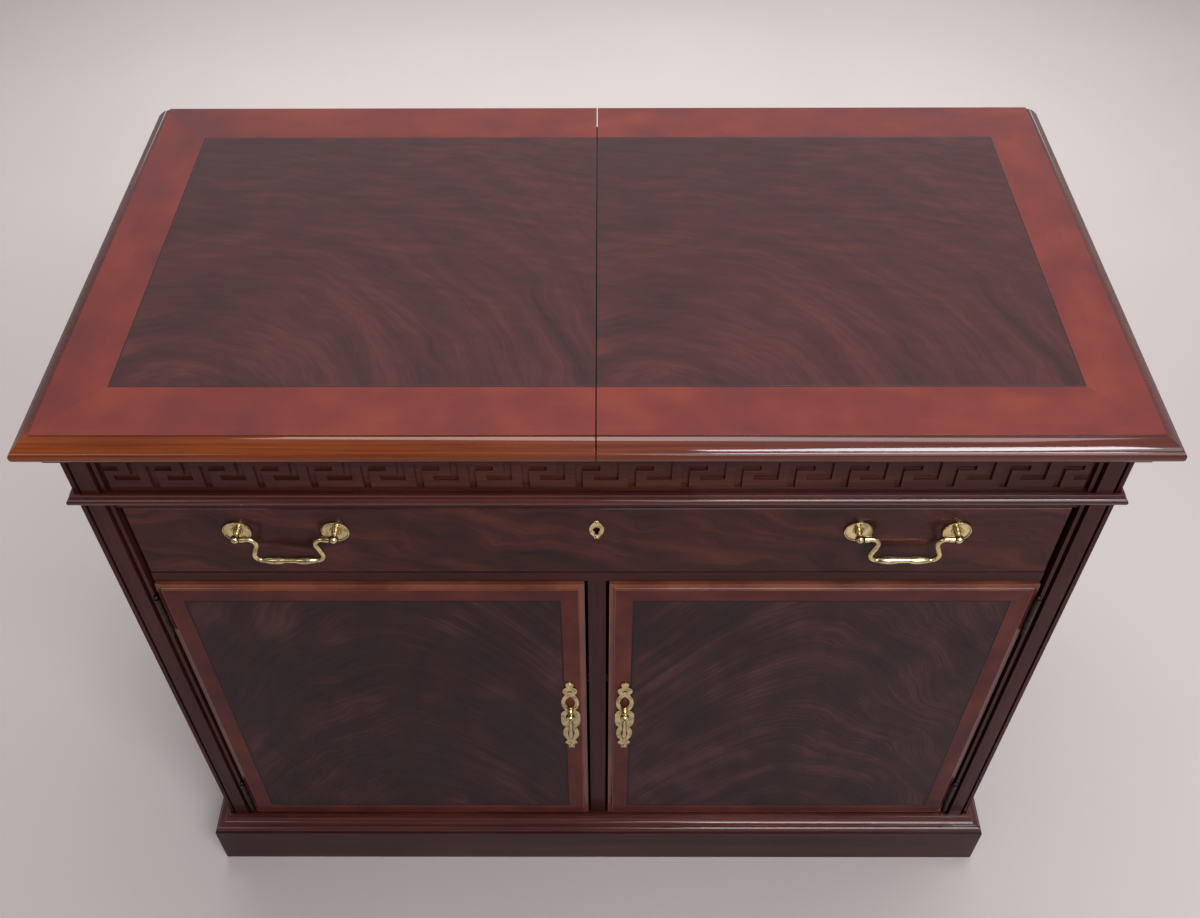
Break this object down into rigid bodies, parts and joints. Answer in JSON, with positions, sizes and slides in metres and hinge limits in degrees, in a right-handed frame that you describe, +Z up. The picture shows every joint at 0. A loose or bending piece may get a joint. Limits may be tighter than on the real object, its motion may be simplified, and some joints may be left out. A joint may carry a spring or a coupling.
{
  "type": "drinks cabinet",
  "caption": "Free-standing drinks cabinet with a top that flips open to both sides, a fretted frieze, a locking drawer with bail pulls and a shelved cupboard behind hinged doors.",
  "frame": {"origin": "on the floor, under the middle of the top's box", "axes": "+X to the right as seen from the front, along the width; +Y to the back; +Z up"},
  "size_m": [1.067, 0.559, 0.864],
  "materials": {
    "plinth_wood": "satin lacquered mahogany, slightly greyer than the case",
    "case_wood": "satin lacquered dark red-brown mahogany",
    "moulding_wood": "satin lacquered mahogany moulding",
    "frieze_wood": "satin lacquered mahogany with a fret in relief",
    "drawer_wood": "satin lacquered swirl mahogany veneer",
    "door_border_wood": "satin lacquered reddish crossbanding",
    "door_field_wood": "satin lacquered dark crotch mahogany veneer",
    "top_border_wood": "gloss lacquered reddish crossbanding",
    "top_field_wood": "gloss lacquered dark mahogany veneer",
    "inner_wood": "plain oiled wood of the inside",
    "lining_laminate": "black stain-proof laminate",
    "antique_brass": "polished brass with darkened recesses",
    "hinge_brass": "dark antique brass",
    "lock_steel": "plain steel",
    "catch_plastic": "brown moulded plastic"
  },
  "bodies": {
    "case": {"plinth_front": "plinth_wood", "plinth_sides": "plinth_wood", "plinth_back": "plinth_wood", "base_moulding": "moulding_wood", "waist_moulding": "moulding_wood", "bottom_board": "case_wood", "side_panel_left": "case_wood", "side_panel_right": "case_wood", "corner_stile_left": "case_wood", "corner_stile_right": "case_wood", "centre_stile": "case_wood", "drawer_rail": "case_wood", "frieze_board": "case_wood", "frieze_key": "frieze_wood", "back_panel": "inner_wood", "back_rail": "inner_wood", "dust_panel": "inner_wood", "drawer_runners": "inner_wood", "drawer_kickers": "inner_wood", "sub_top": "case_wood", "serving_top": "lining_laminate", "shelf": "case_wood", "shelf_pins": "hinge_brass", "door_catches": "catch_plastic", "jamb_hinge_leaves": "hinge_brass", "door_hinge_pins": "hinge_brass", "flip_hinge_plates": "hinge_brass", "flip_hinge_pins": "hinge_brass"},
    "drawer": {"drawer_front": "drawer_wood", "drawer_sides": "inner_wood", "drawer_back": "inner_wood", "drawer_bottom": "inner_wood", "pull_rosettes": "antique_brass", "pull_posts": "antique_brass", "drawer_escutcheon": "antique_brass", "drawer_lock": "lock_steel", "pull_nuts": "lock_steel"},
    "lock_bolt_body": {"lock_bolt": "lock_steel"},
    "leaf_left": {"leaf_board_left": "top_border_wood", "leaf_field_left": "top_field_wood", "leaf_lining_left": "lining_laminate", "leaf_hinge_flaps_left": "hinge_brass"},
    "door_left": {"door_board_left": "door_border_wood", "door_field_left": "door_field_wood", "door_hinge_leaves_left": "hinge_brass", "door_pull_plate_left": "antique_brass", "door_pull_post_left": "antique_brass"},
    "pull_bail_left": {"bail_left": "antique_brass"},
    "pull_drop_left": {"door_drop_left": "antique_brass"},
    "leaf_right": {"leaf_board_right": "top_border_wood", "leaf_field_right": "top_field_wood", "leaf_lining_right": "lining_laminate", "leaf_hinge_flaps_right": "hinge_brass"},
    "door_right": {"door_board_right": "door_border_wood", "door_field_right": "door_field_wood", "door_hinge_leaves_right": "hinge_brass", "door_pull_plate_right": "antique_brass", "door_pull_post_right": "antique_brass"},
    "pull_bail_right": {"bail_right": "antique_brass"},
    "pull_drop_right": {"door_drop_right": "antique_brass"}
  },
  "joints": [
    {"name": "leaf_left_hinge", "type": "hinge", "parent": "case", "child": "leaf_left", "pos_m": [-0.52525, 0, 0.84185], "axis": [0, -1, 0], "range_deg": [0, 180]},
    {"name": "leaf_right_hinge", "type": "hinge", "parent": "case", "child": "leaf_right", "pos_m": [0.52525, 0, 0.84185], "axis": [0, 1, 0], "range_deg": [0, 180]},
    {"name": "drawer_slide", "type": "slide", "parent": "case", "child": "drawer", "axis": [0, -1, 0], "range_m": [0, 0.36]},
    {"name": "door_left_hinge", "type": "hinge", "parent": "case", "child": "door_left", "pos_m": [-0.472, -0.2546, 0.358], "axis": [0, 0, -1], "range_deg": [0, 165]},
    {"name": "door_right_hinge", "type": "hinge", "parent": "case", "child": "door_right", "pos_m": [0.472, -0.2546, 0.358], "axis": [0, 0, 1], "range_deg": [0, 165]},
    {"name": "bail_left_hinge", "type": "hinge", "parent": "drawer", "child": "pull_bail_left", "pos_m": [-0.313, -0.26, 0.709], "axis": [-1, 0, 0], "range_deg": [0, 100]},
    {"name": "bail_right_hinge", "type": "hinge", "parent": "drawer", "child": "pull_bail_right", "pos_m": [0.313, -0.26, 0.709], "axis": [-1, 0, 0], "range_deg": [0, 100]},
    {"name": "drop_left_hinge", "type": "hinge", "parent": "door_left", "child": "pull_drop_left", "pos_m": [-0.0327, -0.2641, 0.369], "axis": [-1, 0, 0], "range_deg": [0, 100]},
    {"name": "drop_right_hinge", "type": "hinge", "parent": "door_right", "child": "pull_drop_right", "pos_m": [0.0327, -0.2641, 0.369], "axis": [-1, 0, 0], "range_deg": [0, 100]},
    {"name": "lock_bolt_slide", "type": "slide", "parent": "drawer", "child": "lock_bolt_body", "axis": [0, 0, 1], "range_m": [0, 0.007]}
  ]
}
